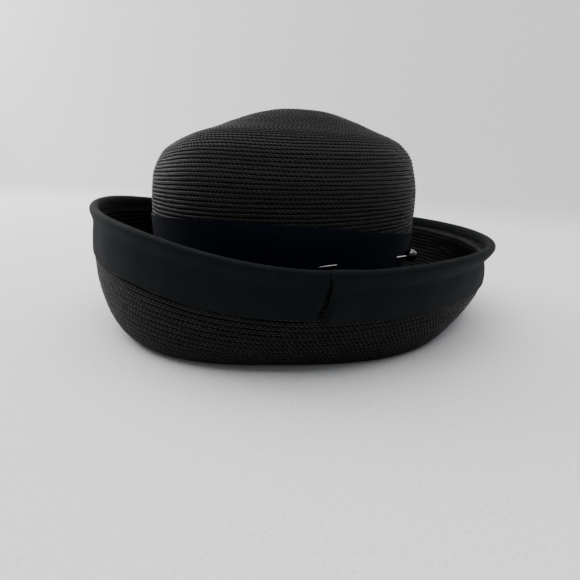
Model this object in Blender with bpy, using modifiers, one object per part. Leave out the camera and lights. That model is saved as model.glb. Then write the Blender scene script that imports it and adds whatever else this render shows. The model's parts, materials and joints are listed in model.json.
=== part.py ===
# Tilt hat of sewn straw braid: a barrel crown, a deep brim turned up all round,
# a grosgrain hatband, a ribbon binding on the rim and a straight hat pin.
# Metres, +Z up. The hat rests on the flat foot of its brim at Z = 0, with the middle of
# the rim over the origin. +X is the low side of the tilted rim, -Y the lapped end of the binding.

import math

import bmesh
import bpy
import numpy as np
from mathutils import Matrix, Vector

# Crown
CROWN_BREADTH = 0.180
CROWN_LENGTH = 0.192
CROWN_HEIGHT = 0.1126
CROWN_LEAN = math.radians(4.0)
HEADLINE_HEIGHT = 0.024
HEADLINE_SADDLE = 0.0045
STRAW = 0.0020

# Brim, measured outwards from the crown's widest outline
COLLAR_HEIGHT = 0.010
FOOT_SIDE_REACH = 0.0081
FOOT_END_REACH = 0.0077
FOOT_SQUARE = 0.106
FOOT_FLAT = 0.0040
FOOT_SHIFT = 0.0056
RIM_SIDE_REACH = 0.0452
RIM_END_REACH = 0.0376
RIM_SHIFT = 0.0108
RIM_HEIGHT = 0.0784
LIP_HEIGHT = 0.0075
LIP_OVERHANG = 0.0090
ROLL = 0.20

# Ribbons
RIBBON = 0.0010
HATBAND_WIDTH = 0.0440
BINDING_WIDTH = 0.0275
BINDING_TURN = 0.0065
LAP_AZIMUTH = math.radians(-83.6)
LAP_LENGTH = 0.0120
LAP_GAPE = 0.0020

# Hat pin
PIN_DIAMETER = 0.0012
PIN_POINT = 0.0040
PIN_HEAD_DIAMETER = 0.0080
PIN_HEIGHT = 0.0280
PIN_ENTRY_AZIMUTH = math.radians(-39.5)
PIN_EXIT_AZIMUTH = math.radians(-68.0)
PIN_TIP_LENGTH = 0.0160
PIN_HEAD_LENGTH = 0.0170
PIN_SIDES = 8

GAP = 0.0004
STEPS = 48
LEG_ROWS = 3
BELLY_ROWS = 4
HATBAND_ROWS = 4
BINDING_ROWS = 5
TURN_ROWS = 2

# Crown's outline, base to tip: share of the crown's height, share of its half breadth
CROWN_OUTLINE = (
    (0.00, 0.966),
    (0.15, 0.971),
    (0.29, 0.984),
    (0.43, 0.995),
    (0.59, 0.985),
    (0.67, 0.959),
    (0.745, 0.926),
    (0.79, 0.879),
    (0.835, 0.800),
    (0.88, 0.643),
    (0.93, 0.478),
    (0.976, 0.274),
    (1.00, 0.000),
)

# Soft dents in the crown: azimuth and its half width in degrees, height and its half height
# as shares of the crown's, share of the half breadth pushed in, share of the height lifted
CROWN_DENTS = (
    (-122, 24, 0.72, 0.17, -0.012, 0.021),
    (-155, 20, 0.80, 0.12, 0.016, -0.008),
    (-62, 30, 0.74, 0.15, 0.008, -0.003),
    (75, 35, 0.70, 0.18, 0.012, 0.010),
    (0, 60, 0.86, 0.20, 0.000, 0.019),
    (180, 60, 0.86, 0.20, 0.000, -0.052),
)

# Brim's sections every 45 degrees from +X towards +Y: rim height as a share of the highest,
# lip overhang as a share of the widest, then the wall's curve from the foot to the lip: belly
# low down, upright stretch below the lip and bulge past it, as shares of its reach or height,
# and last how much of the binding lies outside the rim, as a share of its widest
BRIM_SECTIONS = (
    (0.680, 0.87, 0.49, 0.91, 0.56, 1.00),
    (0.696, 0.53, 0.50, 0.50, 0.05, 1.00),
    (0.780, 0.43, 0.61, 0.60, 0.00, 1.00),
    (0.857, 0.35, 0.73, 0.72, 0.05, 1.00),
    (1.000, 0.24, 0.79, 0.58, 0.47, 0.96),
    (0.940, 0.25, 0.80, 0.77, 0.24, 0.96),
    (0.733, 0.27, 0.35, 0.53, 0.02, 0.93),
    (0.712, 0.62, 0.47, 0.24, 0.10, 0.93),
)

COVER = GAP + RIBBON
LEAN = Matrix.Translation((-RIM_SHIFT, 0, HEADLINE_HEIGHT)) @ Matrix.Rotation(CROWN_LEAN, 4, "Y")


def clear_scene():
    for old in list(bpy.data.objects):
        bpy.data.objects.remove(old, do_unlink=True)


def new_collection(name):
    collection = bpy.data.collections.new(name)
    bpy.context.scene.collection.children.link(collection)
    return collection


def material(name, colour, roughness, metallic=0.0):
    made = bpy.data.materials.new(name)
    made.use_nodes = True
    shader = made.node_tree.nodes["Principled BSDF"]
    shader.inputs["Base Color"].default_value = (*colour, 1)
    shader.inputs["Roughness"].default_value = roughness
    shader.inputs["Metallic"].default_value = metallic
    return made


def add_object(name, mesh, finish, collection):
    made = bpy.data.objects.new(name, mesh)
    mesh.materials.append(finish)
    collection.objects.link(made)
    return made


def make_smooth(made):
    made.data.shade_smooth()
    made.data.set_sharp_from_angle(angle=math.radians(50))


def add_sheet(name, rings, finish, collection, closed=True, tip=None):
    """Lofts an open surface through rings of points. tip closes the last ring to one point."""
    shape = bmesh.new()
    rows = [[shape.verts.new(point) for point in ring] for ring in rings]
    count = len(rows[0])
    for low, high in zip(rows, rows[1:]):
        for i in range(count if closed else count - 1):
            k = (i + 1) % count
            shape.faces.new((low[i], low[k], high[k], high[i]))
    if tip is not None:
        top = shape.verts.new(tip)
        for i in range(count):
            shape.faces.new((rows[-1][i], rows[-1][(i + 1) % count], top))
    mesh = bpy.data.meshes.new(name)
    shape.to_mesh(mesh)
    shape.free()
    return add_object(name, mesh, finish, collection)


def add_wall(made, thickness, side):
    """side 1 grows the wall along the surface's normals, -1 against them."""
    wall = made.modifiers.new("wall", "SOLIDIFY")
    wall.thickness = thickness
    wall.offset = side
    wall.use_even_offset = True


def add_cut(made, cutter):
    hole = made.modifiers.new("hole", "BOOLEAN")
    hole.object = cutter
    hole.operation = "DIFFERENCE"
    hole.solver = "EXACT"


def azimuth_of(step):
    return 2 * math.pi * step / STEPS


def turn_between(first, second):
    return (first - second + math.pi) % (2 * math.pi) - math.pi


def bell(distance):
    """1 at the middle, falling softly to almost 0 at twice the half width."""
    return math.exp(-distance * distance)


def brim_section(azimuth):
    """BRIM_SECTIONS at any azimuth, on a smooth closed curve through its rows."""
    count = len(BRIM_SECTIONS)
    place = azimuth / (2 * math.pi) * count % count
    t = place - int(place)
    a, b, c, d = (np.array(BRIM_SECTIONS[(int(place) + k) % count]) for k in (-1, 0, 1, 2))
    curve = b + 0.5 * t * (c - a + t * (2 * a - 5 * b + 4 * c - d + t * (3 * (b - c) + d - a)))
    return curve.tolist()


def headline(azimuth):
    """Height of the crown's base edge, in the crown's own leaning frame."""
    return -HEADLINE_SADDLE * math.cos(2 * azimuth)


def crown_point(azimuth, height, outwards=0.0):
    """A place on the crown's outside, or a distance outwards from it, in the crown's frame."""
    share = height / CROWN_HEIGHT
    radius = float(np.interp(share, *zip(*CROWN_OUTLINE)))
    lift = 0.0
    for middle, width, level, tall, inwards, lifted in CROWN_DENTS:
        turn = turn_between(azimuth, math.radians(middle)) / math.radians(width)
        depth = bell(turn) * bell((share - level) / tall)
        radius -= inwards * depth
        lift += lifted * depth * CROWN_HEIGHT
    across = radius * CROWN_BREADTH / 2 + outwards
    along = radius * CROWN_LENGTH / 2 + outwards
    return Vector((across * math.cos(azimuth), along * math.sin(azimuth), height + lift))


def make_crown(finish, collection):
    rings = []
    for share, _ in CROWN_OUTLINE[:-1]:
        ring = []
        for step in range(STEPS):
            azimuth = azimuth_of(step)
            height = share * CROWN_HEIGHT + headline(azimuth) * (1 - share) ** 4
            ring.append(crown_point(azimuth, height))
        rings.append(ring)
    crown = add_sheet("crown", rings, finish, collection, tip=(0, 0, CROWN_HEIGHT))
    crown.matrix_world = LEAN
    add_wall(crown, STRAW, -1)
    make_smooth(crown)
    return crown


def make_hatband(finish, collection):
    rings = []
    for row in range(HATBAND_ROWS):
        height = HATBAND_WIDTH * row / (HATBAND_ROWS - 1)
        azimuths = [azimuth_of(step) for step in range(STEPS)]
        rings.append([crown_point(a, headline(a) + height, GAP) for a in azimuths])
    band = add_sheet("hatband", rings, finish, collection)
    band.matrix_world = LEAN
    add_wall(band, RIBBON, 1)
    make_smooth(band)
    return band


def bezier(a, b, c, d, t):
    s = 1 - t
    return a * s**3 + 3 * b * t * s * s + 3 * c * t * t * s + d * t**3


def foot_point(azimuth, outwards):
    square = 1 + FOOT_SQUARE * math.sin(2 * azimuth) ** 2
    across = square * CROWN_BREADTH / 2 + FOOT_SIDE_REACH + outwards
    along = square * CROWN_LENGTH / 2 + FOOT_END_REACH + outwards
    middle = FOOT_SHIFT - RIM_SHIFT
    return Vector((middle + across * math.cos(azimuth), along * math.sin(azimuth), 0))


def rim_point(azimuth, inwards, drop):
    across = CROWN_BREADTH / 2 + RIM_SIDE_REACH - inwards
    along = CROWN_LENGTH / 2 + RIM_END_REACH - inwards
    height = RIM_HEIGHT * brim_section(azimuth)[0] - drop
    return Vector((across * math.cos(azimuth), along * math.sin(azimuth), height))


def brim_line(azimuth):
    """The brim's under and outer side at one azimuth, from the collar's top out to the lip."""
    _, overhang, belly, upright, bulge, covered = brim_section(azimuth)
    inside = -(STRAW + GAP + STRAW)
    base = headline(azimuth)
    top = LEAN @ crown_point(azimuth, base + COLLAR_HEIGHT, inside)
    bend = LEAN @ crown_point(azimuth, base - GAP, inside)
    heel = foot_point(azimuth, -FOOT_FLAT / 2)
    toe = foot_point(azimuth, FOOT_FLAT / 2)
    below_bend = bend.lerp(Vector((bend.x, bend.y, 0)), 0.6)
    before_heel = heel.lerp(Vector((bend.x, bend.y, 0)), 0.5)
    line = [top, bend]
    for row in range(1, LEG_ROWS + 1):
        line.append(bezier(bend, below_bend, before_heel, heel, row / (LEG_ROWS + 1)))
    line += [heel, toe]

    lip = rim_point(azimuth, 2 * COVER, COVER)
    crease = rim_point(azimuth, COVER + LIP_OVERHANG * overhang, COVER + LIP_HEIGHT)
    reach = Vector((crease.x - toe.x, crease.y - toe.y, 0))
    past_toe = toe + belly * reach
    below_crease = crease + bulge * reach - Vector((0, 0, upright * crease.z))
    wall = [bezier(toe, past_toe, below_crease, crease, i / 40) for i in range(41)]
    shoulder = crease.lerp(lip, 0.5) + ROLL * (Vector((lip.x, lip.y, crease.z)) - crease)
    return line + wall_rows(wall + [shoulder, lip], BINDING_WIDTH * covered)


def wall_rows(curve, width):
    """Places the wall's rows down from the lip: those under the binding, then the bare ones."""
    places = np.array([tuple(point) for point in reversed(curve)])
    depth = np.append(0, np.cumsum(np.linalg.norm(np.diff(places, axis=0), axis=1)))
    turn = np.linspace(0, BINDING_TURN, TURN_ROWS + 1)
    covered = np.linspace(BINDING_TURN, width, BINDING_ROWS + 1)[1:]
    bare = np.linspace(width, depth[-1], BELLY_ROWS + 2)[1:-1]
    rows = np.concatenate([turn, covered, bare])[::-1]
    return [Vector([np.interp(row, depth, places[:, k]) for k in range(3)]) for row in rows]


def surface_normals(rings):
    """Unit normals at each point of a grid of rings, towards the under and outer side."""
    grid = np.array([[tuple(point) for point in ring] for ring in rings])
    around = np.roll(grid, -1, axis=1) - np.roll(grid, 1, axis=1)
    outwards = np.gradient(grid, axis=0)
    normals = np.cross(around, outwards)
    return grid, normals / np.linalg.norm(normals, axis=2, keepdims=True)


def make_brim(rings, finish, collection):
    brim = add_sheet("brim", rings, finish, collection)
    add_wall(brim, STRAW, -1)
    make_smooth(brim)
    return brim


def binding_line(points, normals, offset, gape):
    """One cross line of the binding, from its lower outer edge over the lip to its inner turn."""
    rows = BINDING_ROWS + TURN_ROWS
    line = []
    for row in range(rows, 0, -1):
        line.append(points[-1 - row] + (offset + gape * row / rows) * normals[-1 - row])
    tip, out = points[-1], normals[-1]
    on = (points[-1] - points[-2]) / np.linalg.norm(points[-1] - points[-2])
    line.append(tip + offset * out)
    line.append(tip + offset * (on + 0.4 * out))
    line.append(tip + offset * (on - 0.4 * out) - STRAW * out)
    for row in range(TURN_ROWS + 1):
        line.append(points[-1 - row] - (offset + STRAW) * normals[-1 - row])
    return [Vector(point) for point in line]


def make_binding(rings, finish, collection):
    """One strip right round the rim. Its first end lies over its last, and gapes low down."""
    grid, normals = surface_normals(rings)
    lap = LAP_LENGTH / (CROWN_BREADTH / 2 + RIM_SIDE_REACH)
    step = 2 * math.pi / STEPS
    first_whole = math.floor((LAP_AZIMUTH + 2 * lap) / step) + 1
    azimuths = [LAP_AZIMUTH + share * lap for share in (0, 0.5, 1, 1.5, 2)]
    azimuths += [step * (first_whole + i) for i in range(STEPS)]
    end = LAP_AZIMUTH + 2 * math.pi + lap
    azimuths = [a for a in azimuths if a < end - 0.2 * lap] + [end]
    lines = []
    for azimuth in azimuths:
        place = azimuth / step
        low, t = math.floor(place), place - math.floor(place)
        points = (1 - t) * grid[:, low % STEPS] + t * grid[:, (low + 1) % STEPS]
        facing = (1 - t) * normals[:, low % STEPS] + t * normals[:, (low + 1) % STEPS]
        past = (azimuth - LAP_AZIMUTH) / lap
        over = min(max(2 - past, 0), 1)
        gape = LAP_GAPE * max(1 - past / 1.5, 0)
        lines.append(binding_line(points, facing, GAP + over * COVER, gape))
    binding = add_sheet("brim_binding", list(zip(*lines)), finish, collection, closed=False)
    add_wall(binding, RIBBON, 1)
    make_smooth(binding)
    return binding


def turned(name, profile, finish, collection):
    """Turns a profile of (radius, height) points, top to bottom, about the object's Z."""
    mesh = bpy.data.meshes.new(name)
    edges = [(i, i + 1) for i in range(len(profile) - 1)]
    mesh.from_pydata([(radius, 0, height) for radius, height in profile], edges, [])
    made = add_object(name, mesh, finish, collection)
    screw = made.modifiers.new("turn", "SCREW")
    screw.steps = screw.render_steps = PIN_SIDES
    screw.use_merge_vertices = True
    screw.merge_threshold = 0.00001
    return made


def make_hat_pin(steel, black, collection, cutters):
    """The pin lies along the local Z of an empty, with its point at the origin."""
    entry, leaving = (
        LEAN @ crown_point(azimuth, PIN_HEIGHT) for azimuth in (PIN_ENTRY_AZIMUTH, PIN_EXIT_AZIMUTH)
    )
    along = (entry - leaving).normalized()
    pin = bpy.data.objects.new("hat_pin", None)
    collection.objects.link(pin)
    turn = Vector((0, 0, 1)).rotation_difference(along).to_matrix().to_4x4()
    pin.matrix_world = Matrix.Translation(leaving - PIN_TIP_LENGTH * along) @ turn

    centre = PIN_TIP_LENGTH + (entry - leaving).length + PIN_HEAD_LENGTH
    radius = PIN_DIAMETER / 2
    profile = [(0, centre), (radius, centre), (radius, PIN_POINT), (0, 0)]
    shaft = turned("hat_pin_shaft", profile, steel, collection)
    shaft.parent = pin

    bpy.ops.mesh.primitive_uv_sphere_add(segments=16, ring_count=10, radius=PIN_HEAD_DIAMETER / 2)
    head = bpy.context.object
    head.name = head.data.name = "hat_pin_head"
    for owner in list(head.users_collection):
        owner.objects.unlink(head)
    collection.objects.link(head)
    head.data.materials.append(black)
    head.parent = pin
    head.location = (0, 0, centre)
    head.data.shade_smooth()

    socket = add_cutter("pin socket", radius + GAP, centre / 2, centre + GAP, pin, cutters)
    add_cut(head, socket)
    hole = add_cutter("pin hole", radius + GAP, -centre, 2 * centre, pin, cutters)
    return shaft, head, hole


def add_cutter(name, radius, start, end, parent, cutters):
    bpy.ops.mesh.primitive_cylinder_add(vertices=PIN_SIDES, radius=radius, depth=end - start)
    cutter = bpy.context.object
    cutter.name = name
    for owner in list(cutter.users_collection):
        owner.objects.unlink(cutter)
    cutters.objects.link(cutter)
    cutter.parent = parent
    cutter.location = (0, 0, (start + end) / 2)
    cutter.hide_render = True
    cutter.display_type = "WIRE"
    return cutter


def main():
    clear_scene()
    hat = new_collection("tilt hat")
    cutters = new_collection("cutters")
    cutters.hide_render = True
    straw = material("straw braid", (0.012, 0.013, 0.015), 0.35)
    navy = material("navy grosgrain", (0.010, 0.012, 0.022), 0.75)
    charcoal = material("charcoal ribbon", (0.016, 0.019, 0.021), 0.8)
    steel = material("pin steel", (0.62, 0.62, 0.63), 0.25, 1.0)
    black = material("black bead", (0.008, 0.008, 0.009), 0.08)

    crown = make_crown(straw, hat)
    band = make_hatband(navy, hat)
    rings = list(zip(*[brim_line(azimuth_of(step)) for step in range(STEPS)]))
    make_brim(rings, straw, hat)
    make_binding(rings, charcoal, hat)
    _, _, hole = make_hat_pin(steel, black, hat, cutters)
    add_cut(crown, hole)
    add_cut(band, hole)


main()
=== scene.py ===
# %% [markdown]
# # Tilt hat of sewn straw braid
# The real hat is one long, narrow plait of glossy black straw, sewn to itself in a spiral
# from the tip of the crown to the edge of the brim. The brim turns up deeply all round.
# A navy grosgrain ribbon goes round the crown, a wide charcoal ribbon is folded over the
# rim, and a straight pin with a black ball is stuck through the band.
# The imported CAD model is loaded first: it fixes every size, and each new piece lies on it.

# %% Load the frame
import json
import math

import bpy
import numpy as np
from mathutils import Matrix, Vector

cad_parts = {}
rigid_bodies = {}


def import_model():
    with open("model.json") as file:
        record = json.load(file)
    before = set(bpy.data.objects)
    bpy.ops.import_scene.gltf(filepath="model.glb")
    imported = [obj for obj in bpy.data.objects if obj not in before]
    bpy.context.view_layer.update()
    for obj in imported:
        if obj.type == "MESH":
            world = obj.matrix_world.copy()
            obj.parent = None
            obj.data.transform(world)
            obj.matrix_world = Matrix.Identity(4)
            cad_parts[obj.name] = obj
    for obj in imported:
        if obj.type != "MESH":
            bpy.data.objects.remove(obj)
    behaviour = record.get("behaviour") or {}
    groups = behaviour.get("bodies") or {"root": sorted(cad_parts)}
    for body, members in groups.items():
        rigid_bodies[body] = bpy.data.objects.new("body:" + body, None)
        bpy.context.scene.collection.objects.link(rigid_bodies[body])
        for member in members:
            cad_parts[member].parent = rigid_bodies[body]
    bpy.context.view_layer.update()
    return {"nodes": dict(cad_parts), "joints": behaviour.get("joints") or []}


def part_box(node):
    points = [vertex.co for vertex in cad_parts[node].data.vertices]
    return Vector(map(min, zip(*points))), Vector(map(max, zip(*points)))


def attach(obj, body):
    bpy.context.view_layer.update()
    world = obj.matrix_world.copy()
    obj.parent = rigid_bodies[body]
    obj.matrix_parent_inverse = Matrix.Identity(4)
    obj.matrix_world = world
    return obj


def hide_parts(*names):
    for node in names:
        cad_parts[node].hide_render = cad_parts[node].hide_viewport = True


bpy.ops.object.select_all(action="SELECT")
bpy.ops.object.delete()
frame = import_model()
print("CAD nodes:", sorted(frame["nodes"]))

# %% [markdown]
# ## Sizes
# These are the CAD model's own sizes, in metres. +Z is up, -Y faces the camera, and the
# low side of the tilted rim is at +X. The tables hold shares of those sizes.

# %% Sizes of the crown, the brim, the ribbons and the pin
CROWN_BREADTH = 0.180
CROWN_LENGTH = 0.192
CROWN_HEIGHT = 0.1126
CROWN_LEAN = math.radians(4.0)
HEADLINE_HEIGHT = 0.024
HEADLINE_SADDLE = 0.0045
STRAW = 0.0020
COLLAR_HEIGHT = 0.010
FOOT_SIDE_REACH = 0.0081
FOOT_END_REACH = 0.0077
FOOT_SQUARE = 0.106
FOOT_FLAT = 0.0040
FOOT_SHIFT = 0.0056
RIM_SIDE_REACH = 0.0452
RIM_END_REACH = 0.0376
RIM_SHIFT = 0.0108
RIM_HEIGHT = 0.0784
LIP_HEIGHT = 0.0075
LIP_OVERHANG = 0.0090
LIP_DROP = 0.0021
ROLL = 0.20
RIBBON = 0.0010
HATBAND_WIDTH = 0.0440
BINDING_WIDTH = 0.0275
GAP = 0.0004
COVER = GAP + RIBBON

# Crown's outline, base to tip: share of its height, share of its half breadth
CROWN_OUTLINE = (
    (-0.08, 0.963), (0.00, 0.966), (0.15, 0.971), (0.29, 0.984), (0.43, 0.995), (0.59, 0.985),
    (0.67, 0.959), (0.745, 0.926), (0.79, 0.879), (0.835, 0.800), (0.88, 0.643),
    (0.93, 0.478), (0.976, 0.274), (1.00, 0.000),
)
TIP_RADIUS = 0.274
# Soft dents: azimuth, half width, height share, half height share, push in, lift
CROWN_DENTS = (
    (-122, 24, 0.72, 0.17, -0.012, 0.021),
    (-155, 20, 0.80, 0.12, 0.016, -0.008),
    (-62, 30, 0.74, 0.15, 0.008, -0.003),
    (75, 35, 0.70, 0.18, 0.012, 0.010),
    (0, 60, 0.86, 0.20, 0.000, 0.019),
    (180, 60, 0.86, 0.20, 0.000, -0.052),
)
# Brim every 45 degrees from +X: rim height, lip overhang, belly, upright stretch, bulge,
# and the binding's width outside the rim
BRIM_SECTIONS = (
    (0.680, 0.87, 0.49, 0.91, 0.56, 1.00),
    (0.696, 0.53, 0.50, 0.50, 0.05, 1.00),
    (0.780, 0.43, 0.61, 0.60, 0.00, 1.00),
    (0.857, 0.35, 0.73, 0.72, 0.05, 1.00),
    (1.000, 0.24, 0.79, 0.58, 0.47, 0.96),
    (0.940, 0.25, 0.80, 0.77, 0.24, 0.96),
    (0.733, 0.27, 0.35, 0.53, 0.02, 0.93),
    (0.712, 0.62, 0.47, 0.24, 0.10, 0.93),
)
print("rim across, mm:", round((CROWN_BREADTH + 2 * RIM_SIDE_REACH) * 1000, 1))

# %% [markdown]
# ## Small helpers
# Operators act on what is selected, so a piece is always picked alone first. A sheet gets
# its wall from a Solidify modifier, which is applied at once.

# %% Helpers for picking pieces and finishing them
def deselect_all():
    if bpy.context.object and bpy.context.object.mode != "OBJECT":
        bpy.ops.object.mode_set(mode="OBJECT")
    bpy.ops.object.select_all(action="DESELECT")


def pick(piece):
    deselect_all()
    piece.select_set(True)
    bpy.context.view_layer.objects.active = piece


def in_edit_mode(piece, kind="VERT"):
    pick(piece)
    bpy.ops.object.mode_set(mode="EDIT")
    bpy.ops.mesh.select_mode(type=kind)


def close_seams(piece, distance=0.00001):
    """Merges the points that lie on each other, where a wrapped sheet meets itself."""
    in_edit_mode(piece)
    bpy.ops.mesh.select_all(action="SELECT")
    bpy.ops.mesh.remove_doubles(threshold=distance)
    bpy.ops.object.mode_set(mode="OBJECT")


def thicken(piece, thickness, side, even=True):
    """Side 1 grows the wall outwards from the drawn sheet, -1 inwards."""
    pick(piece)
    wall = piece.modifiers.new("wall", "SOLIDIFY")
    wall.thickness = thickness
    wall.offset = side
    wall.use_even_offset = even
    bpy.ops.object.modifier_apply(modifier=wall.name)


def smooth(piece, angle=40):
    pick(piece)
    bpy.ops.object.shade_smooth_by_angle(angle=math.radians(angle))


def report(piece):
    corners = np.array([v.co for v in piece.data.vertices])
    low, high = corners.min(0) * 1000, corners.max(0) * 1000
    faces = sum(len(p.vertices) - 2 for p in piece.data.polygons)
    print(piece.name, faces, "triangles, mm", low.round(1).tolist(), high.round(1).tolist())


# %% [markdown]
# ## Charts of the two straw surfaces
# Every row of plait, and both ribbons, follow the crown or the brim. So each of those two
# surfaces is worked out once as a chart: a dense grid of places and of the directions that
# face out of them. A piece then reads its points from the chart at any azimuth and at any
# share of the way across, which keeps all the layers parallel.

# %% Read and make charts
CHART_TURNS = 360
CHART_ROWS = 240


def make_chart(places):
    """Adds to a grid of places (across, round, xyz) the direction that faces outwards."""
    around = np.roll(places, -1, axis=1) - np.roll(places, 1, axis=1)
    across = np.gradient(places, axis=0)
    facing = np.cross(around, across)
    size = np.linalg.norm(facing, axis=2, keepdims=True)
    facing = np.where(size > 1e-12, facing / np.maximum(size, 1e-12), (0.0, 0.0, 1.0))
    return np.concatenate([places, facing], axis=2)


def read_chart(chart, azimuth, share):
    """Places and outward directions at an azimuth in radians and a share across, 0 to 1."""
    azimuth, share = np.broadcast_arrays(azimuth, share)
    turn = azimuth / (2 * math.pi) * CHART_TURNS
    row = np.clip(share, 0, 1) * (len(chart) - 1)
    left, low = np.floor(turn).astype(int), np.minimum(row.astype(int), len(chart) - 2)
    t, s = (turn - left)[..., None], (row - low)[..., None]
    left, right = left % CHART_TURNS, (left + 1) % CHART_TURNS
    bottom = chart[low, left] * (1 - t) + chart[low, right] * t
    top = chart[low + 1, left] * (1 - t) + chart[low + 1, right] * t
    mixed = bottom * (1 - s) + top * s
    facing = mixed[..., 3:] / np.linalg.norm(mixed[..., 3:], axis=-1, keepdims=True)
    return mixed[..., :3], facing


# %% Smooth curves through points
def soft_curve(points, samples):
    """A smooth curve through the points, as evenly spaced samples."""
    points = np.array(points, float)
    ends = np.vstack([2 * points[0] - points[1], points, 2 * points[-1] - points[-2]])
    t = np.linspace(0, 1, 12, endpoint=False)[:, None]
    pieces = []
    for a, b, c, d in zip(ends, ends[1:], ends[2:], ends[3:]):
        bend = t * (2 * a - 5 * b + 4 * c - d + t * (3 * (b - c) + d - a))
        pieces.append(b + 0.5 * t * (c - a + bend))
    return evenly(np.vstack(pieces + [points[-1:]]), samples)


def evenly(curve, samples):
    steps = np.linalg.norm(np.diff(curve, axis=0), axis=1)
    along = np.append(0, np.cumsum(steps))
    places = np.linspace(0, along[-1], samples)
    return np.stack([np.interp(places, along, curve[:, k]) for k in range(curve.shape[1])], 1)


def length_of(curve):
    return float(np.linalg.norm(np.diff(curve, axis=0), axis=1).sum())


# %% Chart of the crown, base edge to tip
azimuths = 2 * math.pi * np.arange(CHART_TURNS) / CHART_TURNS
lean = Matrix.Translation((-RIM_SHIFT, 0, HEADLINE_HEIGHT)) @ Matrix.Rotation(CROWN_LEAN, 4, "Y")
lean = np.array(lean)
outline = [(radius * CROWN_BREADTH / 2, share * CROWN_HEIGHT) for share, radius in CROWN_OUTLINE]
outline = soft_curve(outline, CHART_ROWS)
CROWN_RUN = length_of(outline)


def headline(azimuth):
    return -HEADLINE_SADDLE * np.cos(2 * azimuth)


def leaning(points):
    return points @ lean[:3, :3].T + lean[:3, 3]


def crown_places(azimuth, radius, height):
    share = height / CROWN_HEIGHT
    lift = 0.0
    for middle, width, level, tall, inwards, lifted in CROWN_DENTS:
        turn = (azimuth - math.radians(middle) + math.pi) % (2 * math.pi) - math.pi
        depth = np.exp(-((turn / math.radians(width)) ** 2) - ((share - level) / tall) ** 2)
        radius = radius - inwards * depth * CROWN_BREADTH / 2
        lift = lift + lifted * depth * CROWN_HEIGHT
    lift = lift * np.minimum(radius / (TIP_RADIUS * CROWN_BREADTH / 2), 1)
    across = radius * np.cos(azimuth)
    along = radius * CROWN_LENGTH / CROWN_BREADTH * np.sin(azimuth)
    return leaning(np.stack([across, along, height + lift], axis=-1))


crown_chart = make_chart(crown_places(azimuths[None], outline[:, :1], outline[:, 1:]))


def crown_share(height):
    """The share across the crown's chart at a height above the headline's middle."""
    return np.interp(height, outline[:, 1], np.linspace(0, 1, CHART_ROWS))


print("crown's outline from base to tip", round(CROWN_RUN * 1000, 1), "mm")


# %% Chart of the brim, collar to lip
def brim_section(azimuth):
    count = len(BRIM_SECTIONS)
    place = azimuth / (2 * math.pi) * count % count
    t = place - int(place)
    a, b, c, d = (np.array(BRIM_SECTIONS[(int(place) + k) % count]) for k in (-1, 0, 1, 2))
    return b + 0.5 * t * (c - a + t * (2 * a - 5 * b + 4 * c - d + t * (3 * (b - c) + d - a)))


def bezier(a, b, c, d, samples):
    t = np.linspace(0, 1, samples)[:, None]
    return a * (1 - t) ** 3 + 3 * b * t * (1 - t) ** 2 + 3 * c * t * t * (1 - t) + d * t**3


def brim_path(azimuth):
    """The brim's under and outer side at one azimuth, from the collar's top to the lip."""
    rim, overhang, belly, upright, bulge, _ = brim_section(azimuth)
    turn = np.array([math.cos(azimuth), math.sin(azimuth)])
    half = np.array([CROWN_BREADTH / 2, CROWN_LENGTH / 2])
    reach = np.array([RIM_SIDE_REACH, RIM_END_REACH])
    foot_reach = np.array([FOOT_SIDE_REACH, FOOT_END_REACH])

    def inner(height):
        radius = np.interp(height, outline[:, 1], outline[:, 0]) / half[0]
        across = (radius * half - 2 * STRAW - GAP) * turn
        return leaning(np.array([*across, height]))

    def foot(out):
        square = 1 + FOOT_SQUARE * math.sin(2 * azimuth) ** 2
        across = (square * half + foot_reach + out) * turn
        return np.array([FOOT_SHIFT - RIM_SHIFT + across[0], across[1], 0])

    def at_rim(inwards, drop):
        return np.array([*((half + reach - inwards) * turn), RIM_HEIGHT * rim - drop])

    base = headline(azimuth)
    top, bend = inner(base + COLLAR_HEIGHT), inner(base - GAP)
    heel, toe = foot(-FOOT_FLAT / 2), foot(FOOT_FLAT / 2)
    below = np.array([bend[0], bend[1], 0])
    leg = bezier(bend, 0.4 * bend + 0.6 * below, 0.5 * (heel + below), heel, 20)
    lip = at_rim(2 * COVER, LIP_DROP)
    crease = at_rim(COVER + LIP_OVERHANG * overhang, COVER + LIP_HEIGHT)
    span = crease - toe
    span[2] = 0
    under_crease = crease + bulge * span - np.array([0, 0, upright * crease[2]])
    wall = bezier(toe, toe + belly * span, under_crease, crease, 60)
    shoulder = 0.5 * (crease + lip) + ROLL * (np.array([lip[0], lip[1], crease[2]]) - crease)
    flare = soft_curve([crease, shoulder, lip], 12)
    collar = np.linspace(top, bend, 8)
    return soften(evenly(np.vstack([collar, leg[1:], wall, flare[1:]]), CHART_ROWS))


# %% Put the brim's sections into a chart
def soften(curve, passes=10):
    """Rounds the bends of an evenly spaced curve, with its ends kept."""
    curve = curve.copy()
    for _ in range(passes):
        curve[1:-1] += 0.25 * (curve[2:] - 2 * curve[1:-1] + curve[:-2])
    return curve


brim_paths = [brim_path(azimuth) for azimuth in azimuths]
brim_chart = make_chart(np.stack(brim_paths, axis=1))
brim_runs = np.array([length_of(path) for path in brim_paths])


def brim_run(azimuth):
    """The brim's length from collar to lip at an azimuth."""
    place = azimuth / (2 * math.pi) * CHART_TURNS
    runs = np.append(brim_runs, brim_runs[0])
    return np.interp(place % CHART_TURNS, np.arange(CHART_TURNS + 1), runs)


least, most = (brim_runs.min() * 1000).round(1), (brim_runs.max() * 1000).round(1)
print("brim from collar to lip", least, "to", most, "mm")

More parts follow.
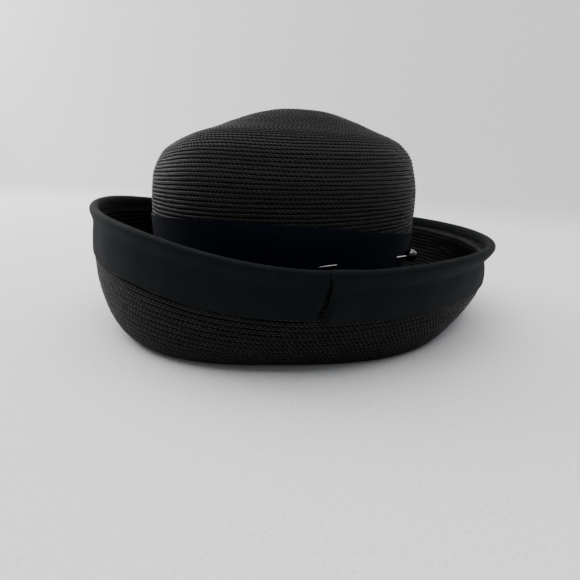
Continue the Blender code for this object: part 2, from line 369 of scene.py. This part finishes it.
# %% [markdown]
# ## Laying flat sheets on the hat
# No operator bends a flat sheet into a dented, leaning oval. So each soft piece starts as
# a flat grid, as the cloth or the plait does before it is sewn, and every point of the
# grid is then laid at its place on a chart. Its columns go round the hat and its rows
# across. The UV map "rows" counts plaits or ribs round and rows across, so the weave
# follows the surface without stretching.

# %% Lay a grid
def flat_grid(name, columns, rows):
    deselect_all()
    bpy.ops.mesh.primitive_grid_add(x_subdivisions=columns, y_subdivisions=rows, size=1)
    piece = bpy.context.object
    piece.name = piece.data.name = name
    return piece


def grid_steps(piece, columns, rows):
    """Each point's column and row, told from its place on the flat grid."""
    flat = np.empty(len(piece.data.vertices) * 3)
    piece.data.vertices.foreach_get("co", flat)
    flat = flat.reshape(-1, 3) + 0.5
    return np.rint(flat[:, 0] * columns).astype(int), np.rint(flat[:, 1] * rows).astype(int)


def lay(piece, steps, places, round_count, across_count):
    """Moves the grid's points. The counts give the UV map from (column, row, face's row)."""
    mesh = piece.data
    column, row = steps
    corners = np.empty(len(mesh.loops), int)
    mesh.loops.foreach_get("vertex_index", corners)
    face_row = row[corners].reshape(-1, 4).min(axis=1).repeat(4)
    uv = np.stack(
        [round_count(column[corners], row[corners], face_row), across_count(row[corners])], axis=1
    )
    layer = mesh.uv_layers[0]
    layer.name = "rows"
    layer.data.foreach_set("uv", uv.astype(np.float32).ravel())
    mesh.vertices.foreach_set("co", places[row, column].astype(np.float32).ravel())
    mesh.update()


# %% [markdown]
# ## The sewn rows
# A row of plait is about 2.3 mm wide where it shows. It slips out from under the row above
# it, swells, and ends in a sharp edge over the next row. That profile is real relief
# here, four points for each row. The rows are one spiral: after a full turn, a column has
# moved on by exactly one row, so the grid's two sides meet one row apart and close.
# PLAIT is the length of one crossing of the strands along a row.

# %% Rows of the spiral
ROW_POINTS = 4
ROW_PHASE = (0.0, 0.16, 0.50, 0.88)
ROW_RELIEF = (-0.00065, 0.00016, 0.00030, -0.00006)
PLAIT = 0.0026
TIP_SHARE = 0.3
HOLLOW = 0.00012


def wobble(azimuth, rows_down):
    """A slow hand-sewn unevenness, in shares of a row."""
    slow = np.sin(3 * azimuth + 0.37 * rows_down) + 0.7 * np.sin(7 * azimuth - 0.61 * rows_down)
    return 0.05 * slow + 0.04 * np.sin(17 * azimuth + 1.9 * rows_down)


def sewn_sheet(name, columns, turns, chart, share_of, wall):
    """One spiral of plait, first row at the start of its chart, as a closed wall."""
    rows = ROW_POINTS * (turns + 1)
    piece = flat_grid(name, columns, rows)
    steps = grid_steps(piece, columns, rows)
    column, row = np.meshgrid(np.arange(columns + 1), np.arange(rows + 1))
    azimuth = 2 * math.pi * column / columns
    at = row // ROW_POINTS + np.array(ROW_PHASE)[row % ROW_POINTS] - 1 + column / columns
    at = np.where(at > turns - TIP_SHARE, turns, at)
    edge = np.clip(np.minimum(at, turns - at), 0, 1)
    share, inside = share_of(azimuth, np.clip(at + edge * wobble(azimuth, at), 0, turns))
    points, facing = read_chart(chart, azimuth, share)
    relief = np.array(ROW_RELIEF)[row % ROW_POINTS] * edge * inside
    swell = HOLLOW * np.sin(5 * azimuth + 0.9 * at) * np.sin(0.43 * at + 2 * azimuth) * edge
    points = points + (relief + np.minimum(swell, 0) * inside)[..., None] * facing

    middle = np.linalg.norm(np.diff(points, axis=1), axis=2).sum(axis=1)
    plaits = np.maximum(np.rint(middle / PLAIT), 3)
    whole = (np.arange(rows + 1) // ROW_POINTS) * ROW_POINTS + ROW_POINTS // 2
    plaits = plaits[np.minimum(whole, rows)]
    lay(
        piece, steps, points,
        lambda c, r, face: c / columns * plaits[face],
        lambda r: r // ROW_POINTS + np.array(ROW_PHASE)[r % ROW_POINTS],
    )
    close_seams(piece, 0.00002)
    thicken(piece, wall, -1, even=False)
    smooth(piece, 65)
    return piece


# %% [markdown]
# ## Crown
# The crown is barrel-shaped, with rounded shoulders and a low, slightly pointed tip. Its
# lowest rows are hidden under the hatband. The spiral is counted from the base edge here,
# and it is cut off level with the headline, which dips at the two sides. The crown leans,
# but its rows look level, so ROW_TILT turns them back. CROWN_FINER packs them closer
# towards the tip.

# %% Crown
CROWN_PITCH = 0.00228
CROWN_FINER = 0.10
CROWN_BELOW = 0.05
ROW_TILT = 0.043
CROWN_COLUMNS = 150
STRAW_WALL = 0.0013
crown_turns = round(CROWN_RUN * (1 + CROWN_BELOW) / CROWN_PITCH)


def crown_row_share(azimuth, rows_up):
    share = rows_up / crown_turns
    share = share + CROWN_FINER * share * (1 - share)
    share = (1 + CROWN_BELOW) * share - CROWN_BELOW
    share = share + ROW_TILT * np.cos(azimuth) * (1 - share)
    start = crown_share(headline(azimuth))
    return np.maximum(share, start), (share > start).astype(float)


crown = sewn_sheet(
    "crown_sewn_braid", CROWN_COLUMNS, crown_turns, crown_chart, crown_row_share, STRAW_WALL
)
report(crown)

# %% [markdown]
# ## Brim
# The brim starts as a short collar inside the crown, goes down to the foot that the hat
# stands on, and turns up steeply into a deep wall with a lip that flares out. It has the
# same number of rows all round, so they are wider where the brim is deeper.

# %% Brim
BRIM_TURNS = 39
BRIM_COLUMNS = 224


def brim_row_share(azimuth, rows_out):
    share = rows_out / BRIM_TURNS
    return share, np.ones_like(share)


brim = sewn_sheet(
    "brim_sewn_braid", BRIM_COLUMNS, BRIM_TURNS, brim_chart, brim_row_share, STRAW_WALL
)
report(brim)

# %% [markdown]
# ## Hatband
# A navy grosgrain ribbon, 44 mm wide, lies flat round the base of the crown. Its woven
# edges are a little thicker than its middle, and it stands away from the straw by less
# than a millimetre, a little more in some places than in others. A cloth simulation would
# add little to a ribbon that is pulled tight, so it is laid straight onto the chart.

# %% Hatband
HATBAND_COLUMNS = 240
HATBAND_ROWS = 22
HATBAND_CLOTH = 0.0006
RIB = 0.0008

band = flat_grid("hatband_ribbon", HATBAND_COLUMNS, HATBAND_ROWS)
band_steps = grid_steps(band, HATBAND_COLUMNS, HATBAND_ROWS)
column, row = np.meshgrid(np.arange(HATBAND_COLUMNS + 1), np.arange(HATBAND_ROWS + 1))
azimuth = 2 * math.pi * column / HATBAND_COLUMNS
up = 0.5 - 0.5 * np.cos(math.pi * row / HATBAND_ROWS)
share = crown_share(headline(azimuth) + HATBAND_WIDTH * up)
points, facing = read_chart(crown_chart, azimuth, share)
ease = 0.00012 * (1 + np.sin(4 * azimuth + 3 * up)) + 0.00010 * (1 + np.sin(9 * azimuth))
selvedge = 0.00015 * np.exp(-((np.minimum(up, 1 - up) / 0.03) ** 2))
points = points + (GAP + (ease + selvedge) * 0.9)[..., None] * facing
band_ribs = round(math.pi * (CROWN_BREADTH + CROWN_LENGTH) / 2 / RIB)
lay(
    band, band_steps, points,
    lambda c, r, face: c / HATBAND_COLUMNS * band_ribs,
    lambda r: r / HATBAND_ROWS,
)
close_seams(band)
thicken(band, HATBAND_CLOTH, 1)
smooth(band)
report(band)

# %% [markdown]
# ## Rim binding
# One strip of charcoal ribbon is folded over the lip: up to 27.5 mm of it shows outside,
# less near the seam, and a narrow turn inside. Its two ends meet right of the middle. They
# are turned under, stand away from the straw and part towards the bottom, so the seam
# gapes. The strip is a sheet that goes up the outside, round the lip in a half circle and
# down the inside. A thin wire inside the lip makes it swell.
# The seam's tables give degrees at a distance from the lip: where the right end stands,
# and how far the left end is drawn back from a lap of SEAM_LAP.

# %% Sizes of the binding
BINDING_COLUMNS = 330
BINDING_CLOTH = 0.0006
BINDING_GAP = 0.00065
OUTSIDE_ROWS = 22
ROLL_ROWS = 9
INSIDE_ROWS = 6
SEAM = math.radians(-83.6)
SEAM_LAP = math.radians(4.0)
SEAM_CURVE = (
    (0.0000, 0.10), (0.0018, 0.48), (0.0070, 0.29), (0.0122, 0.00),
    (0.0163, -0.48), (0.0205, -0.96), (0.0220, -1.50),
)
SEAM_PARTING = (
    (0.0000, 4.10), (0.0018, 4.44), (0.0070, 4.72), (0.0122, 5.10),
    (0.0163, 5.45), (0.0205, 5.10), (0.0220, 4.60),
)
SEAM_GAPE = 0.0030
GAPE_REACH = math.radians(7)
GAPE_FROM = 0.012
RIGHT_REACH = math.radians(5)
LEFT_REACH = math.radians(8)
SEAM_STEP = 0.4
SEAM_FOLD = math.radians(1.2)
INNER_TURN = 0.0035
WIRE_ROLL = 0.0007
WIRE_REACH = 0.0026
NARROW_AT = math.radians(-83.0)
NARROWER = 0.13
NARROW_LEFT = math.radians(22)
NARROW_RIGHT = math.radians(11)
shares = [brim_section(azimuth)[5] for azimuth in azimuths]


def binding_share(azimuth):
    """The width outside the rim as a share of the widest. It narrows towards the seam."""
    place = azimuth / (2 * math.pi) * CHART_TURNS
    share = np.interp(place % CHART_TURNS, np.arange(CHART_TURNS + 1), shares + shares[:1])
    turn = (azimuth - NARROW_AT + math.pi) % (2 * math.pi) - math.pi
    reach = np.where(turn < 0, NARROW_LEFT, NARROW_RIGHT)
    return share - NARROWER * np.exp(-((turn / reach) ** 2))


print("binding at the seam, mm:", round(float(binding_share(SEAM)) * BINDING_WIDTH * 1000, 1))

# %% Where each point of the strip lies round the rim and across it
binding_rows = OUTSIDE_ROWS + ROLL_ROWS + INSIDE_ROWS
binding = flat_grid("rim_binding_ribbon", BINDING_COLUMNS, binding_rows)
binding_steps = grid_steps(binding, BINDING_COLUMNS, binding_rows)
column, row = np.meshgrid(np.arange(BINDING_COLUMNS + 1), np.arange(binding_rows + 1))
past_seam = column / BINDING_COLUMNS * (2 * math.pi + SEAM_LAP)
outside = np.clip(1 - row / OUTSIDE_ROWS, 0, 1)
rolled = np.clip((row - OUTSIDE_ROWS) / ROLL_ROWS, 0, 1)
inside = np.clip((row - OUTSIDE_ROWS - ROLL_ROWS) / INSIDE_ROWS, 0, 1)
edge_wave = 0.00025 * np.sin(11 * past_seam) + 0.00020 * np.sin(23 * past_seam + 1)
shown = BINDING_WIDTH * binding_share(past_seam + SEAM) + edge_wave
from_lip = outside * shown + inside * INNER_TURN
shift = np.interp(from_lip * (outside > 0), *zip(*SEAM_CURVE))
to_end = 2 * math.pi + SEAM_LAP - past_seam
near_start = np.exp(-((past_seam / RIGHT_REACH) ** 2))
near_end = np.exp(-((to_end / LEFT_REACH) ** 2))
parting = np.interp(from_lip * (outside > 0), *zip(*SEAM_PARTING))
azimuth = SEAM + past_seam + np.radians(shift) * near_start + np.radians(shift - parting) * near_end
share = 1 - from_lip / brim_run(azimuth)
points, facing = read_chart(brim_chart, azimuth, share)
lip_out = read_chart(brim_chart, azimuth, 1.0)[0] - read_chart(brim_chart, azimuth, 0.985)[0]
lip_out /= np.linalg.norm(lip_out, axis=2, keepdims=True)
print(binding.name, "points:", points.shape[0] * points.shape[1])

# %% How far each point stands off the straw
over = np.clip(2 - past_seam / SEAM_LAP, 0, 1)
over = over * over * (3 - 2 * over) * SEAM_STEP
step = over * (GAP + BINDING_CLOTH)
from_seam = np.minimum(past_seam, to_end)
low_down = np.clip(from_lip / GAPE_FROM, 0, 1) * (outside > 0)
folded = 1 - low_down * (1 - np.sqrt(np.clip(from_seam / SEAM_FOLD, 0, 1)))
gape = SEAM_GAPE * np.clip(1 - from_seam / GAPE_REACH, 0, 1) ** 2 * low_down * folded
ripple = 0.00010 * (1 + np.sin(31 * past_seam + 2 * outside)) * np.sin(math.pi * outside)
wire = WIRE_ROLL * np.exp(-((from_lip / WIRE_REACH) ** 2))
lift = BINDING_GAP + step + gape + ripple + wire
half_wall = STRAW_WALL / 2
angle = math.pi * rolled
radius = half_wall + BINDING_GAP + step + WIRE_ROLL
print("seam stands off by up to", round(float(gape.max()) * 1000, 2), "mm")

# %% Lay the strip over the lip
centre = points - half_wall * facing
rolled_out = np.cos(angle)[..., None] * facing + np.sin(angle)[..., None] * lip_out
out_side = points + lift[..., None] * facing
in_side = points - (STRAW_WALL + BINDING_GAP + step + wire)[..., None] * facing
on_lip = centre + radius[..., None] * rolled_out
points = np.where((row < OUTSIDE_ROWS)[..., None], out_side, on_lip)
points = np.where((row > OUTSIDE_ROWS + ROLL_ROWS)[..., None], in_side, points)
rim_round = 2 * math.pi * (CROWN_BREADTH / 2 + RIM_SIDE_REACH)
lay(
    binding, binding_steps, points,
    lambda c, r, face: c / BINDING_COLUMNS * round(rim_round / RIB),
    lambda r: r / binding_rows,
)
thicken(binding, BINDING_CLOTH, 1)
smooth(binding)
report(binding)

# %% [markdown]
# ## The ribbons as they were cut
# Both ribbons are straight strips of cloth. About 6 mm of the binding goes over the lip.

# %% [markdown]
# ## Hat pin
# A straight steel pin, 1.2 mm thick, goes through the band and the crown. It carries a
# glossy black ball. The shaft starts as a cylinder whose end is drawn out to a point,
# and the ball as a sphere with a short collar where the shaft enters it.

# %% Hat pin
PIN_DIAMETER = 0.0012
PIN_POINT = 0.0060
POINT_STEPS = ((0.0020, 0.82), (0.0020, 0.60), (0.0014, 0.45), (0.0005, 0.30))
head_low, head_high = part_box("hat_pin_head")
ball = (head_low + head_high) / 2
pin_axis = Vector(frame["joints"][0]["axis"]).normalized()
shaft_points = np.array([v.co for v in frame["nodes"]["hat_pin_shaft"].data.vertices])
tip_of_pin = Vector(shaft_points[np.argmin(shaft_points @ np.array(pin_axis))].tolist())
pin_length = (ball - tip_of_pin).dot(pin_axis)
turn = Vector((0, 0, 1)).rotation_difference(pin_axis).to_matrix().to_4x4()


def place_on_pin(piece):
    """Lays a piece drawn along Z from the pin's point onto the real pin's line."""
    piece.data.transform(Matrix.Translation(tip_of_pin) @ turn)


def select_by_height(piece, low, high):
    """Selects the points between two heights, in edit mode."""
    bpy.ops.mesh.select_all(action="DESELECT")
    bpy.ops.object.mode_set(mode="OBJECT")
    for vertex in piece.data.vertices:
        vertex.select = low <= vertex.co.z <= high
    bpy.ops.object.mode_set(mode="EDIT")


deselect_all()
straight = pin_length - PIN_POINT
bpy.ops.mesh.primitive_cylinder_add(vertices=24, radius=PIN_DIAMETER / 2, depth=straight)
shaft = bpy.context.object
shaft.name = shaft.data.name = "hat_pin_steel_shaft"
shaft.data.transform(Matrix.Translation((0, 0, PIN_POINT + straight / 2)))
shaft.location = (0, 0, 0)
in_edit_mode(shaft)
for drop, size in POINT_STEPS:
    lowest = min(v.co.z for v in shaft.data.vertices)
    select_by_height(shaft, lowest - 1e-6, lowest + 1e-6)
    bpy.ops.mesh.extrude_region_move(TRANSFORM_OT_translate={"value": (0, 0, -drop)})
    bpy.ops.transform.resize(value=(size, size, 1), center_override=(0, 0, lowest - drop))
    bpy.ops.object.mode_set(mode="OBJECT")
    bpy.ops.object.mode_set(mode="EDIT")
bpy.ops.object.mode_set(mode="OBJECT")
place_on_pin(shaft)
smooth(shaft, 35)
report(shaft)

# %% Ball of the pin
BALL_DIAMETER = 0.0080
BALL_END = -BALL_DIAMETER / 2 * 0.965
deselect_all()
bpy.ops.mesh.primitive_uv_sphere_add(segments=48, ring_count=32, radius=BALL_DIAMETER / 2)
head = bpy.context.object
head.name = head.data.name = "hat_pin_black_ball"
in_edit_mode(head)
select_by_height(head, -BALL_DIAMETER, BALL_END)
bpy.ops.transform.resize(value=(1, 1, 0), center_override=(0, 0, BALL_END))
bpy.ops.mesh.extrude_region_move(TRANSFORM_OT_translate={"value": (0, 0, -0.0004)})
bpy.ops.transform.resize(value=(0.9, 0.9, 1))
bpy.ops.object.mode_set(mode="OBJECT")
head.data.transform(Matrix.Translation((0, 0, pin_length)))
place_on_pin(head)
smooth(head, 35)
report(head)


# %% [markdown]
# ## Finishes
# All finishes are nodes only. The straw and the ribbons read the UV map "rows", whose
# whole numbers are plaits or ribs round the hat and rows across it.

# %% Node helpers
class Finish:
    """A material and short ways to add nodes to it."""

    def __init__(self, name):
        self.made = bpy.data.materials.new(name)
        self.made.use_nodes = True
        self.tree = self.made.node_tree
        self.shader = self.tree.nodes["Principled BSDF"]

    def add(self, kind, inputs=(), **settings):
        made = self.tree.nodes.new(kind)
        for name, value in settings.items():
            setattr(made, name, value)
        for name, value in dict(inputs).items():
            self.give(made.inputs[name], value)
        return made

    def give(self, socket, value):
        if isinstance(value, bpy.types.NodeSocket):
            self.tree.links.new(value, socket)
        else:
            socket.default_value = value

    def maths(self, operation, *values):
        made = self.tree.nodes.new("ShaderNodeMath")
        made.operation = operation
        for socket, value in zip(made.inputs, values):
            self.give(socket, value)
        return made.outputs[0]

    def fixed(self, **values):
        """Uniform values, set on the shader's own sockets."""
        for name, value in values.items():
            self.shader.inputs[name.replace("_", " ")].default_value = value

    def rows_map(self):
        uv = self.add("ShaderNodeUVMap", uv_map="rows").outputs[0]
        parts = self.add("ShaderNodeSeparateXYZ", {"Vector": uv})
        return uv, parts.outputs["X"], parts.outputs["Y"]

    def noise(self, vector, scale, detail=3.0, roughness=0.5):
        inputs = {"Vector": vector, "Scale": scale, "Detail": detail, "Roughness": roughness}
        return self.add("ShaderNodeTexNoise", inputs).outputs["Fac"]

    def chance(self, inputs, dimensions):
        """One even random value for each whole number or cell."""
        made = self.add("ShaderNodeTexWhiteNoise", inputs, noise_dimensions=dimensions)
        return made.outputs["Value"]

    def object_place(self):
        return self.add("ShaderNodeTexCoord").outputs["Object"]

    def ramp(self, factor, stops):
        made = self.add("ShaderNodeValToRGB", {"Fac": factor})
        band = made.color_ramp
        while len(band.elements) < len(stops):
            band.elements.new(0.5)
        for element, (place, colour) in zip(band.elements, stops):
            element.position = place
            element.color = (*colour, 1)
        return made.outputs["Color"]

    def spread(self, factor, low, high):
        inputs = {"Value": factor, "To Min": low, "To Max": high}
        return self.add("ShaderNodeMapRange", inputs).outputs["Result"]

    def bump(self, height, distance, strength):
        inputs = {"Height": height, "Distance": distance, "Strength": strength}
        return self.add("ShaderNodeBump", inputs).outputs["Normal"]


# %% [markdown]
# ### Straw braid
# The plait is flat synthetic straw with a high gloss. Each row shows two lines of small
# rounded lozenges, staggered like bricks, where the strands cross, and every row starts
# at its own place. In the colour, the lozenges' tops are a painted highlight, and the
# hollows between them and the grooves between rows a painted shade. Each lozenge is also a
# little brighter or duller than the next, at random, in tone and in gloss; its brighter
# tones are painted glints, which give the black its sparkle. The brim is the same straw
# with less gloss than the crown, a painted shade, because it faces the bright floor and
# would look grey.

# %% Pattern of the plait
def plait_pattern(straw):
    """Two staggered lines of lozenges for each row, and what differs between them."""
    uv, plait, across = straw.rows_map()
    within = straw.maths("FRACT", across)
    twice = straw.maths("MULTIPLY", within, 2.0)
    line = straw.maths("FLOOR", twice)
    in_line = straw.maths("FRACT", twice)
    this_row = straw.maths("FLOOR", across)
    row_phase = straw.chance({"W": this_row}, "1D")
    slanted = straw.maths("MULTIPLY_ADD", in_line, 0.35, straw.maths("ADD", plait, row_phase))
    staggered = straw.maths("MULTIPLY_ADD", line, 0.5, slanted)
    crossing = straw.maths("ABSOLUTE", straw.maths("SINE", straw.maths("MULTIPLY", staggered, math.pi)))
    belly = straw.maths("SINE", straw.maths("MULTIPLY", in_line, math.pi))
    lozenge = straw.maths("POWER", straw.maths("MULTIPLY", crossing, belly), 0.8)
    cell = straw.add(
        "ShaderNodeCombineXYZ",
        {"X": straw.maths("FLOOR", staggered), "Y": this_row, "Z": line},
    ).outputs[0]
    chance = straw.chance({"Vector": cell}, "3D")
    stretch = {0: uv, 1: (3.0, 26.0, 1.0)}
    fibre_map = straw.add("ShaderNodeVectorMath", stretch, operation="MULTIPLY").outputs[0]
    fibres = straw.noise(fibre_map, 1.0, 2.0)
    return within, lozenge, chance, fibres


# %% Straw braid
# Painted colours: from the painted shade in the hollows to the painted highlight and glints on the
# lozenges' tops.
STRAW_SHADE_TO_HIGHLIGHT = (
    (0.15, (0.0003, 0.0003, 0.0004)),
    (0.55, (0.0040, 0.0042, 0.0046)),
    (1.00, (0.024, 0.025, 0.027)),
)
CROWN_GLOSS = 0.24
# The brim's lower gloss is painted shade: the same straw as the crown, kept darker where it faces the
# bright floor.
BRIM_GLOSS_PAINTED_SHADE = 0.13


def straw_finish(name, gloss):
    straw = Finish(name)
    within, lozenge, chance, fibres = plait_pattern(straw)
    patches = straw.noise(straw.object_place(), 60.0, 2.0)
    # The base colour holds painted light: a painted highlight on the lozenges' tops, painted shade in
    # the hollows between them and in the grooves between rows, and painted glints from each lozenge's
    # random tone.
    tone_and_painted_light = straw.maths("MULTIPLY_ADD", chance, 0.30, straw.maths("MULTIPLY", lozenge, 0.6))
    tone_and_painted_light = straw.maths("MULTIPLY_ADD", patches, 0.2, tone_and_painted_light)
    straw.give(straw.shader.inputs["Base Color"], straw.ramp(tone_and_painted_light, STRAW_SHADE_TO_HIGHLIGHT))
    dull = straw.maths("MULTIPLY_ADD", chance, 0.24, straw.maths("MULTIPLY_ADD", lozenge, -0.55, 0.78))
    straw.give(straw.shader.inputs["Roughness"], straw.maths("MULTIPLY_ADD", fibres, 0.10, dull))
    rounded_row = straw.maths("SINE", straw.maths("MULTIPLY", within, math.pi))
    height = straw.maths("MULTIPLY_ADD", fibres, 0.22, straw.maths("MULTIPLY", lozenge, 0.7))
    height = straw.maths("MULTIPLY_ADD", rounded_row, 0.7, height)
    height = straw.maths("MULTIPLY_ADD", chance, 0.35, height)
    straw.give(straw.shader.inputs["Normal"], straw.bump(height, 0.00055, 1.0))
    straw.fixed(IOR=1.5, Specular_IOR_Level=gloss)
    return straw


crown_straw = straw_finish("crown_straw_braid", CROWN_GLOSS)
# The brim's straw is a shaded copy of the crown's straw, a painted shade.
brim_straw = straw_finish("brim_straw_painted_shade", BRIM_GLOSS_PAINTED_SHADE)
print("straw nodes:", len(crown_straw.tree.nodes))


# %% [markdown]
# ### Ribbons
# Grosgrain has fine ribs across its width, bound by a thin warp. Both ribbons are matte,
# with a faint nap. The hatband is navy, and the rim binding a cooler charcoal.

# %% Ribbons
def ribbon_finish(name, dark, light, nap):
    cloth = Finish(name)
    _, ribs, across = cloth.rows_map()
    rib = cloth.maths("ABSOLUTE", cloth.maths("SINE", cloth.maths("MULTIPLY", ribs, math.pi)))
    warp = cloth.maths("SINE", cloth.maths("MULTIPLY", across, 420.0))
    place = cloth.object_place()
    worn = cloth.noise(place, 45.0, 4.0, 0.6)
    fuzz = cloth.noise(place, 2600.0, 2.0)
    tone_and_painted_light = cloth.maths("MULTIPLY_ADD", fuzz, 0.35, cloth.maths("MULTIPLY", worn, 0.45))
    # Painted shade: the hollows between the ribs are darker and the ribs' tops lighter. The worn and
    # fuzz noises are a random mottle of the cloth.
    tone_and_painted_light = cloth.maths("MULTIPLY_ADD", rib, 0.2, tone_and_painted_light)
    cloth.give(cloth.shader.inputs["Base Color"], cloth.ramp(tone_and_painted_light, ((0.25, dark), (0.75, light))))
    cloth.give(cloth.shader.inputs["Roughness"], cloth.spread(worn, 0.72, 0.92))
    height = cloth.maths("MULTIPLY_ADD", warp, 0.12, rib)
    height = cloth.maths("MULTIPLY_ADD", fuzz, 0.5, height)
    cloth.give(cloth.shader.inputs["Normal"], cloth.bump(height, 0.00007, 0.8))
    cloth.fixed(Sheen_Weight=nap, Sheen_Roughness=0.45, Specular_IOR_Level=0.10)
    return cloth


navy = ribbon_finish("navy_grosgrain", (0.0013, 0.0023, 0.0056), (0.0040, 0.0070, 0.0165), 0.01)
charcoal = ribbon_finish("charcoal_ribbon", (0.0009, 0.0018, 0.0024), (0.0036, 0.0054, 0.0066), 0.015)
print("ribbon nodes:", len(navy.tree.nodes))

# %% [markdown]
# ### Pin
# The shaft is drawn steel with fine lines along it. The ball is pressed glass or plastic,
# black, with a clear high gloss and a few faint rubbed marks.

# %% Steel and black ball
STEEL_COLOURS = ((0.3, (0.50, 0.50, 0.51)), (0.7, (0.74, 0.74, 0.75)))
BEAD_COLOURS = ((0.3, (0.003, 0.003, 0.0035)), (0.8, (0.008, 0.008, 0.009)))

steel = Finish("pin_steel")
drawn = steel.noise(steel.object_place(), 900.0, 3.0)
steel.give(steel.shader.inputs["Base Color"], steel.ramp(drawn, STEEL_COLOURS))
steel.give(steel.shader.inputs["Roughness"], steel.spread(drawn, 0.12, 0.30))
steel.give(steel.shader.inputs["Normal"], steel.bump(drawn, 0.00001, 0.5))
steel.fixed(Metallic=1.0)

bead = Finish("black_bead")
rubbed = bead.noise(bead.object_place(), 500.0, 4.0)
bead.give(bead.shader.inputs["Base Color"], bead.ramp(rubbed, BEAD_COLOURS))
bead.give(bead.shader.inputs["Roughness"], bead.spread(rubbed, 0.03, 0.10))
bead.give(bead.shader.inputs["Normal"], bead.bump(rubbed, 0.00002, 0.3))
bead.fixed(IOR=1.55, Coat_Weight=0.5, Coat_Roughness=0.03)
print("pin nodes:", len(steel.tree.nodes), len(bead.tree.nodes))


# %% [markdown]
# ## Dressing the frame
# Every piece stands for one CAD node and rides on that node's body, so the pin moves with
# its joint and the rest stays still.

# %% Give each piece its finish, its body and the CAD node that it stands for
def finish_piece(piece, finish, node, body):
    piece.data.materials.clear()
    piece.data.materials.append(finish.made)
    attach(piece, body)
    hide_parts(node)
    print(piece.name, "stands for", node, "on", body)


finish_piece(crown, crown_straw, "crown", "hat")
finish_piece(brim, brim_straw, "brim", "hat")
finish_piece(band, navy, "hatband", "hat")
finish_piece(binding, charcoal, "brim_binding", "hat")
finish_piece(shaft, steel, "hat_pin_shaft", "hat_pin")
finish_piece(head, bead, "hat_pin_head", "hat_pin")

# %% [markdown]
# ## Floor, light and camera
# The hat stands on a plain pale floor in front of a plain pale backdrop. The daylight
# comes softly from the left and a little from behind, so the right side and the front
# are dim. The camera is a wide one, close to the hat and a little above its rim.

# %% Floor and backdrop
FLOOR_SIZE = 6.0
WALL_Y = 0.50
WALL_TURN = math.radians(-28.3)
WALL_HEIGHT = 1.5
COVE = 0.04
FLOOR_COLOURS = ((0.3, (0.82, 0.82, 0.835)), (0.7, (0.96, 0.96, 0.975)))
deselect_all()
bpy.ops.mesh.primitive_plane_add(size=FLOOR_SIZE, location=(0, WALL_Y - FLOOR_SIZE / 2, 0))
floor = bpy.context.object
floor.name = floor.data.name = "pale_floor"
in_edit_mode(floor, "EDGE")
bpy.ops.mesh.select_all(action="DESELECT")
bpy.ops.object.mode_set(mode="OBJECT")
for edge in floor.data.edges:
    edge.select = all(floor.data.vertices[v].co.y > FLOOR_SIZE / 2 - 0.01 for v in edge.vertices)
bpy.ops.object.mode_set(mode="EDIT")
bpy.ops.mesh.extrude_region_move(TRANSFORM_OT_translate={"value": (0, 0, WALL_HEIGHT)})
bpy.ops.object.mode_set(mode="OBJECT")
pick(floor)
rounded = floor.modifiers.new("cove", "BEVEL")
rounded.width = COVE
rounded.segments = 6
rounded.limit_method = "ANGLE"
bpy.ops.object.modifier_apply(modifier=rounded.name)
floor.data.transform(Matrix.Rotation(WALL_TURN, 4, "Z") @ Matrix.Translation(floor.location))
floor.location = (0, 0, 0)
smooth(floor, 60)
pale = Finish("pale_floor")
weave = pale.noise(pale.object_place(), 700.0, 3.0, 0.6)
pale.give(pale.shader.inputs["Base Color"], pale.ramp(weave, FLOOR_COLOURS))
pale.give(pale.shader.inputs["Normal"], pale.bump(weave, 0.0005, 0.4))
pale.fixed(Roughness=0.9)
floor.data.materials.append(pale.made)
print("floor and backdrop:", len(floor.data.polygons), "faces")


# %% Light
def soft_light(name, place, towards, size, watts, colour):
    deselect_all()
    bpy.ops.object.light_add(type="AREA", location=place)
    lamp = bpy.context.object
    lamp.name = name
    lamp.data.shape = "RECTANGLE"
    lamp.data.size, lamp.data.size_y = size
    lamp.data.energy = watts
    lamp.data.color = colour
    aim = Vector(towards) - Vector(place)
    lamp.rotation_euler = aim.to_track_quat("-Z", "Y").to_euler()
    lamp.visible_camera = False
    print(name, "light,", watts, "W")


soft_light("window", (-1.15, 0.72, 0.85), (0, 0, 0.05), (1.1, 0.9), 20, (1.0, 1.0, 1.0))
soft_light("ceiling", (0.0, 0.10, 1.7), (0, 0, 0), (2.2, 2.2), 52, (1.0, 1.0, 1.0))
soft_light("fill", (1.4, 0.10, 0.45), (0, 0, 0.05), (0.8, 0.8), 2, (0.80, 0.92, 1.0))
world = bpy.data.worlds.new("soft room")
bpy.context.scene.world = world
world.use_nodes = True
world.node_tree.nodes["Background"].inputs["Color"].default_value = (0.80, 0.82, 0.83, 1)
world.node_tree.nodes["Background"].inputs["Strength"].default_value = 0.30

# %% Camera
CAMERA_PLACE = (-0.003, -0.316, 0.1047)
CAMERA_DIP = math.radians(16.88)
deselect_all()
bpy.ops.object.camera_add(location=CAMERA_PLACE, rotation=(math.pi / 2 - CAMERA_DIP, 0, 0))
camera = bpy.context.object
camera.data.lens = 27.0
camera.data.sensor_width = 36.0
camera.data.clip_start = 0.01
bpy.context.scene.camera = camera
print("camera", CAMERA_PLACE, "lens", camera.data.lens, "mm")
